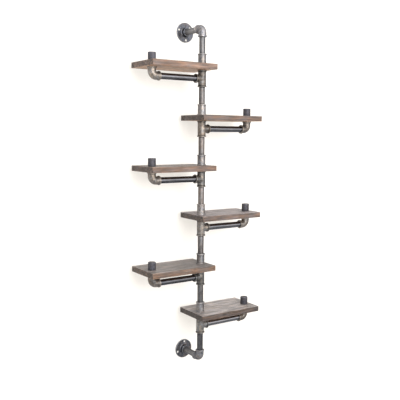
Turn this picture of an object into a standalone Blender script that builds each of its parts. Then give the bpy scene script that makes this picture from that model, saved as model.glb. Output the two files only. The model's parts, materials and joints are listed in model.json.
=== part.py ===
"""Six-tier wall shelf: wood boards hung left and right of one upright made of half-inch pipe and fittings.

Units are metres and +Z is up. The wall is the plane y = 0, and the shelf stands off it on the -Y side.
The origin is the centre of the lower wall flange's back face.
"""

import math

import bmesh
import bpy
from mathutils import Matrix, Vector

# Clearance between pieces that touch, and round a pipe where a fitting's thread would be.
GAP = 0.0003

# Pipe, half-inch nominal, and how far it screws into a fitting.
PIPE_RADIUS = 0.01065
PIPE_BORE_RADIUS = 0.0079
ENGAGEMENT = 0.0125

# Sockets and waterways inside the fittings. CUT is how far a cutter runs past the face that it opens.
SOCKET_RADIUS = PIPE_RADIUS + GAP
SOCKET_DEPTH = 0.0130
WATERWAY_RADIUS = 0.0085
BRANCH_WATERWAY_RADIUS = 0.0080
CUT = 0.002

# Banded tees and elbows.
CENTRE_TO_FACE = 0.0285
BODY_RADIUS = 0.0140
BRANCH_BODY_RADIUS = 0.0136
BAND_RADIUS = 0.0159
BAND_LENGTH = 0.0042
BAND_SLOPE = 0.0006
BEND_RADIUS = 0.0155

# Collar round the upright, on top of each board.
COLLAR_HEIGHT = 0.0365
COLLAR_BEAD_RADIUS = 0.0158
COLLAR_BEAD_HEIGHT = 0.0030

# Cap at the outer end of each arm.
CAP_RADIUS = 0.01365
CAP_HEIGHT = 0.0275
CAP_EDGE = 0.0022
CAP_BORE_DEPTH = 0.0200

# Wall flange. Each turn is the angle from +X to the first screw hole, seen from the front.
FLANGE_RADIUS = 0.0350
FLANGE_THICKNESS = 0.0042
FLANGE_EDGE = 0.0012
HUB_HEIGHT = 0.0180
HUB_ROOT_RADIUS = 0.0172
HUB_RADIUS = 0.0152
HUB_FILLET = 0.0025
HUB_EDGE = 0.0006
SCREW_HOLES = 3
SCREW_HOLE_RADIUS = 0.0041
SCREW_CIRCLE_RADIUS = 0.02675
UPPER_FLANGE_TURN = math.radians(40.0)
LOWER_FLANGE_TURN = math.radians(80.0)

# Boards.
BOARD_LENGTH = 0.2570
BOARD_DEPTH = 0.1490
BOARD_THICKNESS = 0.0195
BOARD_ROUNDING = 0.0012
BOARD_HOLE_RADIUS = 0.0112
HOLE_FROM_END = 0.0280
HOLE_FROM_FRONT = 0.0556
ARM_REACH = BOARD_LENGTH - 2.0 * HOLE_FROM_END

# Layout. The boards' tops are 174 to 178 mm apart, because some pipes are screwed in a turn further than others.
BOARD_TOPS = (1.0519, 0.8781, 0.7020, 0.5261, 0.3477, 0.1698)
SHELVES = len(BOARD_TOPS)
UPPER_AXIS_Z = 1.1750
UPRIGHT_Y = -0.1135

# Heights below a board's top: the tee's faces and axis, and the ends of the pipes inside it.
TEE_TOP_DROP = BOARD_THICKNESS + GAP
AXIS_DROP = TEE_TOP_DROP + CENTRE_TO_FACE
TEE_BOTTOM_DROP = AXIS_DROP + CENTRE_TO_FACE
PIPE_ABOVE_END_DROP = TEE_TOP_DROP + ENGAGEMENT
PIPE_BELOW_START_DROP = TEE_BOTTOM_DROP - ENGAGEMENT

# Facets round each piece.
SIDES = 20
ELBOW_SIDES = 16
ELBOW_STEPS = 5
STUB_SIDES = 12
FLANGE_SIDES = 36
SCREW_HOLE_SIDES = 16
BORE_SIDES = 16

SHARP_ANGLE = math.radians(35.0)
QUARTER = math.pi / 2.0
X_AXIS = Vector((1.0, 0.0, 0.0))
Y_AXIS = Vector((0.0, 1.0, 0.0))

# Colour, roughness and metallic value of each kind of piece.
FINISHES = {
    "board": ((0.235, 0.170, 0.130), 0.70, 0.0),
    "collar": ((0.300, 0.275, 0.250), 0.50, 0.8),
    "tee": ((0.245, 0.225, 0.200), 0.52, 0.8),
    "riser_pipe": ((0.200, 0.185, 0.175), 0.45, 0.8),
    "foot_pipe": ((0.085, 0.085, 0.090), 0.42, 0.8),
    "arm_pipe": ((0.110, 0.112, 0.120), 0.35, 0.8),
    "arm_elbow": ((0.210, 0.195, 0.175), 0.52, 0.8),
    "stub_nipple": ((0.110, 0.112, 0.120), 0.40, 0.8),
    "end_cap": ((0.075, 0.078, 0.090), 0.55, 0.6),
    "wall_elbow": ((0.190, 0.180, 0.170), 0.52, 0.8),
    "wall_nipple": ((0.150, 0.145, 0.140), 0.48, 0.8),
    "wall_flange": ((0.085, 0.083, 0.088), 0.58, 0.7),
}


def make_material(name, colour, roughness, metallic):
    material = bpy.data.materials.new(name)
    material.use_nodes = True
    material.diffuse_color = (*colour, 1.0)
    shader = material.node_tree.nodes["Principled BSDF"]
    shader.inputs["Base Color"].default_value = (*colour, 1.0)
    shader.inputs["Roughness"].default_value = roughness
    shader.inputs["Metallic"].default_value = metallic
    return material


def to_mesh(bm, name):
    bmesh.ops.recalc_face_normals(bm, faces=bm.faces)
    mesh = bpy.data.meshes.new(name)
    bm.to_mesh(mesh)
    bm.free()
    return mesh


def lathe(name, profile, sides):
    """A closed outline of (radius, height) points turned round the Z axis."""
    bm = bmesh.new()
    outline = [bm.verts.new((radius, 0.0, height)) for radius, height in profile]
    edges = []
    for i, vertex in enumerate(outline):
        following = outline[(i + 1) % len(outline)]
        if vertex.co.x > 0.0 or following.co.x > 0.0:
            edges.append(bm.edges.new((vertex, following)))
    bmesh.ops.spin(
        bm,
        geom=outline + edges,
        cent=(0.0, 0.0, 0.0),
        axis=(0.0, 0.0, 1.0),
        angle=2.0 * math.pi,
        steps=sides,
        use_merge=True,
    )
    bmesh.ops.remove_doubles(bm, verts=bm.verts, dist=1e-6)
    return to_mesh(bm, name)


def rod_outline(radius, low, high):
    return [(0.0, low), (radius, low), (radius, high), (0.0, high)]


def combine(name, base, steps):
    """The base mesh after its Boolean steps, each an operation and a mesh."""
    host = bpy.data.objects.new(name + "_host", base)
    helpers = [host]
    for operation, mesh in steps:
        helper = bpy.data.objects.new(name + "_helper", mesh)
        helpers.append(helper)
        modifier = host.modifiers.new(operation.lower(), "BOOLEAN")
        modifier.operation = operation
        modifier.solver = "EXACT"
        modifier.object = helper
    for helper in helpers:
        bpy.context.scene.collection.objects.link(helper)
    bpy.context.view_layer.update()
    graph = bpy.context.evaluated_depsgraph_get()
    result = bpy.data.meshes.new_from_object(host.evaluated_get(graph))
    result.name = name
    for helper in helpers:
        bpy.data.objects.remove(helper)
    return result


def pipe_mesh(name, length, sides=SIDES):
    """A length of pipe standing on height 0."""
    outline = [
        (PIPE_RADIUS, 0.0),
        (PIPE_RADIUS, length),
        (PIPE_BORE_RADIUS, length),
        (PIPE_BORE_RADIUS, 0.0),
    ]
    return lathe(name, outline, sides)


def elbow_stations():
    """Each ring's (distance along the bend from the +X face, radius), out over the skin and back inside."""
    straight = CENTRE_TO_FACE - BEND_RADIUS
    arc = QUARTER * BEND_RADIUS
    total = 2.0 * straight + arc
    band = [(0.0, BAND_RADIUS), (BAND_LENGTH, BAND_RADIUS), (BAND_LENGTH + BAND_SLOPE, BODY_RADIUS)]
    socket = [(0.0, SOCKET_RADIUS), (SOCKET_DEPTH, SOCKET_RADIUS), (SOCKET_DEPTH, WATERWAY_RADIUS)]
    stations = list(band)
    stations += [(straight + arc * i / ELBOW_STEPS, BODY_RADIUS) for i in range(ELBOW_STEPS + 1)]
    stations += [(total - distance, radius) for distance, radius in reversed(band)]
    stations += [(total - distance, radius) for distance, radius in socket]
    stations.append((total / 2.0, WATERWAY_RADIUS))
    stations += reversed(socket)
    return stations, straight, total


def elbow_mesh():
    """A banded 90-degree elbow about its axes' crossing, with one socket facing +X and the other +Z."""
    stations, straight, total = elbow_stations()
    pivot = Vector((BEND_RADIUS, 0.0, BEND_RADIUS))
    bm = bmesh.new()
    rings = []
    for distance, radius in stations:
        angle = min(max((distance - straight) / BEND_RADIUS, 0.0), QUARTER)
        outward = Vector((-math.sin(angle), 0.0, -math.cos(angle)))
        centre = pivot + outward * BEND_RADIUS
        centre.x += max(straight - distance, 0.0)
        centre.z += max(distance - (total - straight), 0.0)
        points = []
        for i in range(ELBOW_SIDES):
            turn = 2.0 * math.pi * i / ELBOW_SIDES
            spoke = outward * math.cos(turn) + Y_AXIS * math.sin(turn)
            points.append(bm.verts.new(centre + spoke * radius))
        rings.append(points)
    for i, first in enumerate(rings):
        second = rings[(i + 1) % len(rings)]
        for j in range(ELBOW_SIDES):
            k = (j + 1) % ELBOW_SIDES
            bm.faces.new((first[j], first[k], second[k], second[j]))
    return to_mesh(bm, "elbow")


def tee_mesh():
    """A banded tee about its axes' crossing, with its run along Z and its branch facing +X."""
    band_start = CENTRE_TO_FACE - BAND_LENGTH
    body_end = band_start - BAND_SLOPE
    shoulder = CENTRE_TO_FACE - SOCKET_DEPTH
    beyond = CENTRE_TO_FACE + CUT
    band = [(BAND_RADIUS, band_start), (BAND_RADIUS, CENTRE_TO_FACE), (0.0, CENTRE_TO_FACE)]
    socket = [(SOCKET_RADIUS, shoulder), (SOCKET_RADIUS, beyond), (0.0, beyond)]
    half_run = [(BODY_RADIUS, body_end)] + band
    half_bore = [(WATERWAY_RADIUS, shoulder)] + socket
    run = [(radius, -height) for radius, height in reversed(half_run)] + half_run
    run_bore = [(radius, -height) for radius, height in reversed(half_bore)] + half_bore
    branch = [(0.0, 0.0), (BRANCH_BODY_RADIUS, 0.0), (BRANCH_BODY_RADIUS, body_end)] + band
    branch_bore = [(0.0, 0.0), (BRANCH_WATERWAY_RADIUS, 0.0), (BRANCH_WATERWAY_RADIUS, shoulder)] + socket
    sideways = Matrix.Rotation(QUARTER, 4, "Y")
    branch_solid = lathe("branch", branch, SIDES)
    branch_solid.transform(sideways)
    branch_cutter = lathe("branch_bore", branch_bore, BORE_SIDES)
    branch_cutter.transform(sideways)
    run_cutter = lathe("run_bore", run_bore, BORE_SIDES)
    steps = [("UNION", branch_solid), ("DIFFERENCE", run_cutter), ("DIFFERENCE", branch_cutter)]
    return combine("tee", lathe("run", run, SIDES), steps)


def collar_mesh():
    """A collar with a bead at each end, standing on height 0 and bored for the pipe through it."""
    low = COLLAR_BEAD_HEIGHT
    high = COLLAR_HEIGHT - COLLAR_BEAD_HEIGHT
    outline = [
        (COLLAR_BEAD_RADIUS, 0.0),
        (COLLAR_BEAD_RADIUS, low),
        (BODY_RADIUS, low + BAND_SLOPE),
        (BODY_RADIUS, high - BAND_SLOPE),
        (COLLAR_BEAD_RADIUS, high),
        (COLLAR_BEAD_RADIUS, COLLAR_HEIGHT),
        (SOCKET_RADIUS, COLLAR_HEIGHT),
        (SOCKET_RADIUS, 0.0),
    ]
    return lathe("collar", outline, SIDES)


def cap_mesh():
    """A closed cap standing on height 0, with its socket open below."""
    outline = [
        (CAP_RADIUS, 0.0),
        (CAP_RADIUS, CAP_HEIGHT - CAP_EDGE),
        (CAP_RADIUS - CAP_EDGE, CAP_HEIGHT),
        (0.0, CAP_HEIGHT),
        (0.0, CAP_BORE_DEPTH),
        (SOCKET_RADIUS, CAP_BORE_DEPTH),
        (SOCKET_RADIUS, 0.0),
    ]
    return lathe("end_cap", outline, SIDES)


def flange_mesh():
    """A wall flange with its back on height 0, its hub above and its first screw hole towards +X."""
    outline = [
        (FLANGE_RADIUS, 0.0),
        (FLANGE_RADIUS, FLANGE_THICKNESS - FLANGE_EDGE),
        (FLANGE_RADIUS - FLANGE_EDGE, FLANGE_THICKNESS),
        (HUB_ROOT_RADIUS, FLANGE_THICKNESS),
        (HUB_RADIUS, FLANGE_THICKNESS + HUB_FILLET),
        (HUB_RADIUS, HUB_HEIGHT - HUB_EDGE),
        (HUB_RADIUS - HUB_EDGE, HUB_HEIGHT),
        (SOCKET_RADIUS, HUB_HEIGHT),
        (SOCKET_RADIUS, 0.0),
    ]
    hole = rod_outline(SCREW_HOLE_RADIUS, -CUT, FLANGE_THICKNESS + CUT)
    steps = []
    for i in range(SCREW_HOLES):
        cutter = lathe("screw_hole", hole, SCREW_HOLE_SIDES)
        cutter.transform(Matrix.Translation(X_AXIS * SCREW_CIRCLE_RADIUS))
        cutter.transform(Matrix.Rotation(2.0 * math.pi * i / SCREW_HOLES, 4, "Z"))
        steps.append(("DIFFERENCE", cutter))
    return combine("wall_flange", lathe("plate", outline, FLANGE_SIDES), steps)


def board_mesh():
    """A board with its top on height 0, one pipe hole at the origin and the other at +X."""
    bm = bmesh.new()
    bmesh.ops.create_cube(bm, size=1.0)
    bmesh.ops.scale(bm, verts=bm.verts, vec=(BOARD_LENGTH, BOARD_DEPTH, BOARD_THICKNESS))
    middle = (ARM_REACH / 2.0, BOARD_DEPTH / 2.0 - HOLE_FROM_FRONT, -BOARD_THICKNESS / 2.0)
    bmesh.ops.translate(bm, verts=bm.verts, vec=middle)
    bmesh.ops.bevel(
        bm,
        geom=bm.edges[:],
        offset=BOARD_ROUNDING,
        offset_type="OFFSET",
        segments=2,
        profile=0.5,
        affect="EDGES",
    )
    hole = rod_outline(BOARD_HOLE_RADIUS, -BOARD_THICKNESS - CUT, CUT)
    steps = []
    for reach in (0.0, ARM_REACH):
        cutter = lathe("pipe_hole", hole, BORE_SIDES)
        cutter.transform(Matrix.Translation(X_AXIS * reach))
        steps.append(("DIFFERENCE", cutter))
    return combine("board", to_mesh(bm, "blank"), steps)


def upright_ends():
    """The low and the high end of each pipe of the upright, from the top down."""
    lows = [top - PIPE_ABOVE_END_DROP for top in BOARD_TOPS]
    lows.append(CENTRE_TO_FACE - ENGAGEMENT)
    highs = [top - PIPE_BELOW_START_DROP for top in BOARD_TOPS]
    highs.insert(0, UPPER_AXIS_Z - CENTRE_TO_FACE + ENGAGEMENT)
    return list(zip(lows, highs))


def make_meshes():
    """The mesh of each kind of piece and of each pipe of the upright, shaded and with its material."""
    elbow = elbow_mesh()
    arm_length = ARM_REACH - 2.0 * (CENTRE_TO_FACE - ENGAGEMENT)
    stub_length = BOARD_THICKNESS + 2.0 * (GAP + ENGAGEMENT)
    wall_length = -UPRIGHT_Y - (HUB_HEIGHT - ENGAGEMENT) - (CENTRE_TO_FACE - ENGAGEMENT)
    meshes = {
        "board": board_mesh(),
        "collar": collar_mesh(),
        "tee": tee_mesh(),
        "arm_pipe": pipe_mesh("arm_pipe", arm_length),
        "arm_elbow": elbow,
        "stub_nipple": pipe_mesh("stub_nipple", stub_length, STUB_SIDES),
        "end_cap": cap_mesh(),
        "wall_elbow": elbow.copy(),
        "wall_nipple": pipe_mesh("wall_nipple", wall_length),
        "wall_flange": flange_mesh(),
    }
    finish_of = {kind: kind for kind in meshes}
    for number, (low, high) in enumerate(upright_ends(), 1):
        name = f"riser_pipe_{number}"
        meshes[name] = pipe_mesh(name, high - low)
        finish_of[name] = "foot_pipe" if number > SHELVES else "riser_pipe"
    materials = {kind: make_material(kind, *finish) for kind, finish in FINISHES.items()}
    for name, mesh in meshes.items():
        mesh.materials.clear()
        mesh.materials.append(materials[finish_of[name]])
        mesh.shade_smooth()
        mesh.set_sharp_from_angle(angle=SHARP_ANGLE)
    return meshes


def add(name, mesh, location, rotation=(0.0, 0.0, 0.0), parent=None):
    piece = bpy.data.objects.new(name, mesh)
    piece.location = location
    piece.rotation_euler = rotation
    piece.parent = parent
    bpy.context.scene.collection.objects.link(piece)
    return piece


def add_shelf(meshes, number, side):
    """One board with its collar, tee, arm and cap, on the left for side -1 and on the right for side 1."""
    top = BOARD_TOPS[number - 1]
    shelf = add(f"shelf_{number}", None, (0.0, UPRIGHT_Y, top))
    tee_turn = (0.0, 0.0, 0.0 if side > 0 else math.pi)
    elbow_turn = (0.0, 0.0, math.pi if side > 0 else 0.0)
    arm_turn = (0.0, side * QUARTER, 0.0)
    arm_start = side * (CENTRE_TO_FACE - ENGAGEMENT)
    reach = side * ARM_REACH
    board_start = min(0.0, reach)
    add(f"board_{number}", meshes["board"], (board_start, 0.0, 0.0), parent=shelf)
    add(f"collar_{number}", meshes["collar"], (0.0, 0.0, GAP), parent=shelf)
    add(f"tee_{number}", meshes["tee"], (0.0, 0.0, -AXIS_DROP), tee_turn, shelf)
    add(f"arm_pipe_{number}", meshes["arm_pipe"], (arm_start, 0.0, -AXIS_DROP), arm_turn, shelf)
    add(f"arm_elbow_{number}", meshes["arm_elbow"], (reach, 0.0, -AXIS_DROP), elbow_turn, shelf)
    add(f"stub_nipple_{number}", meshes["stub_nipple"], (reach, 0.0, -PIPE_ABOVE_END_DROP), parent=shelf)
    add(f"end_cap_{number}", meshes["end_cap"], (reach, 0.0, GAP), parent=shelf)


def add_upright(meshes):
    """The pipe lengths from the upper elbow down through the boards to the lower elbow."""
    for number, (low, _) in enumerate(upright_ends(), 1):
        name = f"riser_pipe_{number}"
        add(name, meshes[name], (0.0, UPRIGHT_Y, low))


def add_wall_stay(meshes, end, axis_z, flange_turn, roll):
    """The flange, nipple and elbow that hold one end of the upright off the wall."""
    stay = add(f"{end}_wall_stay", None, (0.0, 0.0, axis_z))
    nipple_start = ENGAGEMENT - HUB_HEIGHT
    add(f"{end}_wall_flange", meshes["wall_flange"], (0.0, 0.0, 0.0), (QUARTER, -flange_turn, 0.0), stay)
    add(f"{end}_wall_nipple", meshes["wall_nipple"], (0.0, nipple_start, 0.0), (QUARTER, 0.0, 0.0), stay)
    add(f"{end}_wall_elbow", meshes["wall_elbow"], (0.0, UPRIGHT_Y, 0.0), (roll, 0.0, QUARTER), stay)


def main():
    for existing in list(bpy.data.objects):
        bpy.data.objects.remove(existing)
    meshes = make_meshes()
    add_wall_stay(meshes, "upper", UPPER_AXIS_Z, UPPER_FLANGE_TURN, math.pi)
    add_wall_stay(meshes, "lower", 0.0, LOWER_FLANGE_TURN, 0.0)
    add_upright(meshes)
    for number in range(1, SHELVES + 1):
        add_shelf(meshes, number, -1 if number % 2 else 1)


main()
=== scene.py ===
"""Looks of the six-tier pipe wall shelf.

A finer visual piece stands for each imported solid, with its procedural material. Round them are the wall,
the floor, soft studio light and the camera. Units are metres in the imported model's frame: the wall is the
plane y = 0, the shelf stands off it towards -Y, and +Z is up.
"""

import json
import math

import bmesh
import bpy
import numpy as np
from mathutils import Matrix, Vector, noise


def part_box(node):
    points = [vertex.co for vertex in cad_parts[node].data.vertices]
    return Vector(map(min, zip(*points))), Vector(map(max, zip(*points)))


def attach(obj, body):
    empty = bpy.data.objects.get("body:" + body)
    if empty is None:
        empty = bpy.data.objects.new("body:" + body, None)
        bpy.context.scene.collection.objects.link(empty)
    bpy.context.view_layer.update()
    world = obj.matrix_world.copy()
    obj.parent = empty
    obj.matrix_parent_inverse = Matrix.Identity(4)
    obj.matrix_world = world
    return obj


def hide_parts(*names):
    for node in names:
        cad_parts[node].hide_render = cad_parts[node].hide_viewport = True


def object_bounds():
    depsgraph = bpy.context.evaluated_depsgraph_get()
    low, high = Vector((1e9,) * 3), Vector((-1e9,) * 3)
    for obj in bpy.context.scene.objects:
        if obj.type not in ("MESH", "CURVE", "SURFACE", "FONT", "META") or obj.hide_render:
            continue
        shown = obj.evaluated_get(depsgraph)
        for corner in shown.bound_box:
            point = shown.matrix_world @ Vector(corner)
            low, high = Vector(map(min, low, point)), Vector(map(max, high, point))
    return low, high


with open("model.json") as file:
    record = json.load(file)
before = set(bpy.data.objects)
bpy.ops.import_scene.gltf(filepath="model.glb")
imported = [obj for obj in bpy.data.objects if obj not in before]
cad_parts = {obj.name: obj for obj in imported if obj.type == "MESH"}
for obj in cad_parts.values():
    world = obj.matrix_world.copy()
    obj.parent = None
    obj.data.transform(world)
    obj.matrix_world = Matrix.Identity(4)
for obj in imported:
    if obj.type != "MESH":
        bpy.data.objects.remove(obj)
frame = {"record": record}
cad_low, cad_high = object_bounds()

SHELVES = 6
QUARTER = math.pi / 2.0
MM = 0.001
ENDLESS = 1.0

# Inside the fittings and pipes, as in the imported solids.
SOCKET_RADIUS = 0.01095
SOCKET_DEPTH = 0.0130
ENGAGEMENT = 0.0125
WATERWAY_RADIUS = 0.0085
BRANCH_WATERWAY_RADIUS = 0.0080
PIPE_BORE_RADIUS = 0.0079

# Eased edges of the fittings' mouths, of their waterways and of the pipes' ends.
MOUTH_CHAMFER = 0.0008
HOLE_EDGE = 0.4 * MM
PIPE_END_CHAMFER = 0.0008

# The bit of thread that shows where a pipe leaves a fitting, and that goes on for some turns inside it.
THREAD_PITCH = 0.00181
THREAD_TURNS_INSIDE = 2.0
THREAD_DEPTH = 0.0009
THREAD_SHOWN = 0.0036
THREAD_STEP = 0.00028

# Skins of the tees and elbows.
BODY_RADIUS = 0.0140
BRANCH_BODY_RADIUS = 0.0136
BAND_RADIUS = 0.0159
BAND_LENGTH = 0.0042
BAND_ROUNDING = 0.0009
BAND_FILLET = 0.0014
BAND_STEP = 0.7 * MM
BRANCH_FILLET = 0.0035
BEND_RADIUS = 0.0155
CENTRE_TO_FACE = 0.0285

# Collars and caps. The standing rounding is that of the edge that stands on the board.
COLLAR_BEAD_HEIGHT = 0.0030
COLLAR_BEAD_STEP = 0.6 * MM
COLLAR_ROUNDING = 0.9 * MM
COLLAR_INNER_ROUNDING = 0.8 * MM
STANDING_ROUNDING = 0.5 * MM
CAP_EDGE = 0.0024
CAP_BORE_DEPTH = 0.0200

# Wall flanges.
FLANGE_THICKNESS = 0.0042
FLANGE_ROUNDING = 0.0010
HUB_RADIUS = 0.0152
HUB_FILLET = 0.0050
SCREW_HOLES = 3
SCREW_HOLE_RADIUS = 0.0041
SCREW_HOLE_EDGE = MM
SCREW_HOLE_CLEARING = 3.0 * MM
SCREW_CIRCLE_RADIUS = 0.02675
UPPER_FLANGE_TURN = math.radians(40.0)
LOWER_FLANGE_TURN = math.radians(80.0)

# Boards, and the chips, rubs and waves of their skin. A scale is the noise's, per metre.
BOARD_HOLE_RADIUS = 0.0112
BOARD_CORNER = 0.0022
BOARD_EDGE = 0.0012
EDGE_WEAR_REACH = 2.2 * MM
CHIP_SCALE = 95.0
CHIP_START = 0.28
CHIP_DEPTH = 2.2 * MM
RUB_SCALE = 28.0
RUB_DEPTH = 0.35 * MM
WAVE_SCALE_ALONG = 9.0
WAVE_SCALE_ACROSS = 60.0
WAVE_DEPTH = 0.10 * MM

# Wear and painted groove shade: how far edges lean off the surface where marking starts, how much more
# makes it full, and how far the grime and painted shade spread out of a groove.
WEAR_AND_SHADE_START = 0.04
WEAR_AND_SHADE_SPAN = 0.07
GRIME_AND_SHADE_REACH = 0.0040
GRIME_AND_SHADE_ROUNDS = 3

# Fineness of the meshes, and the angles in degrees above which their edges look sharp.
SIDES = 56
BOARD_HOLE_SIDES = 40
ARC_STEPS = 5
ELBOW_STEP = 0.0016
TEE_CELL = 0.00080
FLANGE_CELL = 0.00085
BOARD_CELL = 0.0060
BOARD_EDGE_TICKS_MM = (0.0, 0.4, 0.8, 1.2, 1.8, 2.6, 3.8, 5.6)
TURNED_SHARP = 35.0
NET_SHARP = 50.0
BOARD_SHARP = 40.0

# Camera.
CAMERA_AT = (-1.2367, -1.9321, 0.8095)
CAMERA_YAW = 0.5955
CAMERA_PITCH = -0.1050
CAMERA_ROLL = 0.0079
CAMERA_LENS = 55.85
CAMERA_SENSOR_WIDTH = 36.0


# Meshes


def new_mesh(name, points, faces, sharp=TURNED_SHARP):
    """A finished mesh of these points and faces."""
    mesh = bpy.data.meshes.new(name)
    mesh.from_pydata([tuple(point) for point in points], [], [tuple(face) for face in faces])
    return finished(mesh, sharp)


def finished(mesh, sharp):
    """The mesh, normals out, smooth shaded between sharp edges, with its wear and painted shade marked."""
    bm = bmesh.new()
    bm.from_mesh(mesh)
    bmesh.ops.recalc_face_normals(bm, faces=bm.faces)
    bm.to_mesh(mesh)
    bm.free()
    mesh.shade_smooth()
    mesh.set_sharp_from_angle(angle=math.radians(sharp))
    mark_wear_and_shade(mesh)
    return mesh


def coordinates(mesh):
    found = np.empty(len(mesh.vertices) * 3)
    mesh.vertices.foreach_get("co", found)
    return found.reshape(-1, 3)


def vertex_normals(mesh):
    found = np.empty(len(mesh.vertices) * 3, np.float32)
    mesh.vertex_normals.foreach_get("vector", found)
    return found.reshape(-1, 3).astype(float)


def mark_wear_and_shade(mesh):
    """Adds the point attribute wear_and_painted_shade.

    It is up to 1 on convex edges, where handling rubs and castings take a painted highlight, and down to -1
    in grooves, for grime and painted shade. The grime and painted shade spread a little.
    """
    points = coordinates(mesh)
    normals = vertex_normals(mesh)
    ends = np.empty(len(mesh.edges) * 2, np.int32)
    mesh.edges.foreach_get("vertices", ends)
    first, second = ends.reshape(-1, 2).T
    span = points[second] - points[first]
    span /= np.maximum(np.linalg.norm(span, axis=1), 1e-9)[:, None]
    lean = np.zeros(len(points))
    count = np.zeros(len(points))
    np.add.at(lean, first, -(span * normals[first]).sum(axis=1))
    np.add.at(lean, second, (span * normals[second]).sum(axis=1))
    np.add.at(count, first, 1.0)
    np.add.at(count, second, 1.0)
    lean /= np.maximum(count, 1.0)
    wear_and_painted_shade = np.sign(lean) * np.clip((np.abs(lean) - WEAR_AND_SHADE_START) / WEAR_AND_SHADE_SPAN, 0.0, 1.0)
    reach = np.exp(-np.linalg.norm(points[second] - points[first], axis=1) / GRIME_AND_SHADE_REACH)
    # The groove marks, which paint grime and shade, spread a little way out.
    for _ in range(GRIME_AND_SHADE_ROUNDS):
        spread = np.minimum(wear_and_painted_shade, 0.0)
        np.minimum.at(spread, first, spread[second] * reach)
        np.minimum.at(spread, second, spread[first] * reach)
        wear_and_painted_shade = np.where(spread < np.minimum(wear_and_painted_shade, 0.0), spread, wear_and_painted_shade)
    attribute = mesh.attributes.get("wear_and_painted_shade") or mesh.attributes.new("wear_and_painted_shade", "FLOAT", "POINT")
    attribute.data.foreach_set("value", wear_and_painted_shade.astype(np.float32))


def rounded(corners):
    """The closed outline through (distance, radius, rounding) corners, with a curve at each rounded one."""
    outline = []
    for i, (distance, radius, rounding) in enumerate(corners):
        here = Vector((distance, radius))
        if not rounding:
            outline.append(here)
            continue
        back = Vector(corners[i - 1][:2]) - here
        ahead = Vector(corners[(i + 1) % len(corners)][:2]) - here
        longest = 0.48 * min(back.length, ahead.length)
        reach = min(rounding / math.tan(back.angle(ahead) / 2.0), longest)
        start = here + back.normalized() * reach
        end = here + ahead.normalized() * reach
        for step in range(ARC_STEPS + 1):
            share = step / ARC_STEPS
            outline.append(start.lerp(here, share).lerp(here.lerp(end, share), share))
    return outline


def divided(outline, longest):
    """The closed outline with points added, so that no stretch runs further than longest along the path."""
    result = []
    for i, here in enumerate(outline):
        ahead = outline[(i + 1) % len(outline)]
        pieces = max(1, math.ceil(abs(ahead.x - here.x) / longest))
        result += [here.lerp(ahead, step / pieces) for step in range(pieces)]
    return result


def straight_path(distance):
    """Where a sweep along Z is: its centre, and the two directions across it."""
    return Vector((0.0, 0.0, distance)), Vector((1.0, 0.0, 0.0)), Vector((0.0, 1.0, 0.0))


def bend_path(distance):
    """A quarter bend about the axes' crossing, from the face towards +X to the face towards +Z."""
    straight = CENTRE_TO_FACE - BEND_RADIUS
    arc = QUARTER * BEND_RADIUS
    angle = min(max((distance - straight) / BEND_RADIUS, 0.0), QUARTER)
    outward = Vector((-math.sin(angle), 0.0, -math.cos(angle)))
    centre = Vector((BEND_RADIUS, 0.0, BEND_RADIUS)) + outward * BEND_RADIUS
    centre.x += max(straight - distance, 0.0)
    centre.z += max(distance - straight - arc, 0.0)
    return centre, outward, Vector((0.0, 1.0, 0.0))


def sweep(name, outline, path=straight_path, sides=SIDES, reshape=None):
    """A closed outline of (distance, radius) points carried round the path.

    A point of no radius becomes a pole.
    """
    points = []
    rings = []
    for distance, radius in outline:
        centre, outward, sideways = path(distance)
        if radius < 1e-6:
            rings.append([len(points)])
            points.append(centre)
            continue
        rings.append(list(range(len(points), len(points) + sides)))
        for side in range(sides):
            turn = 2.0 * math.pi * side / sides
            points.append(centre + (outward * math.cos(turn) + sideways * math.sin(turn)) * radius)
    faces = []
    for i, first in enumerate(rings):
        second = rings[(i + 1) % len(rings)]
        for side in range(sides if len(first) + len(second) > 2 else 0):
            following = (side + 1) % sides
            if len(first) == 1:
                faces.append((first[0], second[side], second[following]))
            elif len(second) == 1:
                faces.append((first[side], second[0], first[following]))
            else:
                faces.append((first[side], second[side], second[following], first[following]))
    if reshape:
        points = reshape(np.array(points))
    return new_mesh(name, points, faces)


def smooth_union(a, b, blend):
    share = np.clip(0.5 + 0.5 * (b - a) / blend, 0.0, 1.0)
    return b * (1.0 - share) + a * share - blend * share * (1.0 - share)


def smooth_cut(a, b, blend):
    return -smooth_union(-a, b, blend)


def drum(along, radial, low, high, radius, rounding=0.0):
    """Distance to a round solid from low to high along its axis, with rounded rims."""
    beyond = np.maximum(low - along, along - high) + rounding
    outside = radial - radius + rounding
    corner = np.hypot(np.maximum(beyond, 0.0), np.maximum(outside, 0.0))
    return corner + np.minimum(np.maximum(beyond, outside), 0.0) - rounding


def chamfer(depth, radial, radius, width):
    """Distance to the cone that eases a hole's mouth. depth runs into the hole from its face."""
    return (radial - radius - width + depth) * math.sqrt(0.5)


def settle(points, distance, rounds):
    """Moves the points onto the surface where distance is zero."""
    step = 0.02 * MM
    least_slope = 0.05
    for _ in range(rounds):
        slope = np.empty_like(points)
        for axis in range(3):
            shift = np.zeros(3)
            shift[axis] = step
            slope[:, axis] = (distance(points + shift) - distance(points - shift)) / (2.0 * step)
        size = np.maximum((slope**2).sum(axis=1), least_slope)
        points = points - (distance(points) / size)[:, None] * slope
    return points


def relax(points, faces):
    """Moves each point half of the way to its neighbours' middle."""
    total = np.zeros_like(points)
    count = np.zeros(len(points))
    for i in range(4):
        here, ahead = faces[:, i], faces[:, (i + 1) % 4]
        np.add.at(total, here, points[ahead])
        np.add.at(total, ahead, points[here])
        np.add.at(count, here, 1.0)
        np.add.at(count, ahead, 1.0)
    return points + (total / count[:, None] - points) / 2.0


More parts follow.
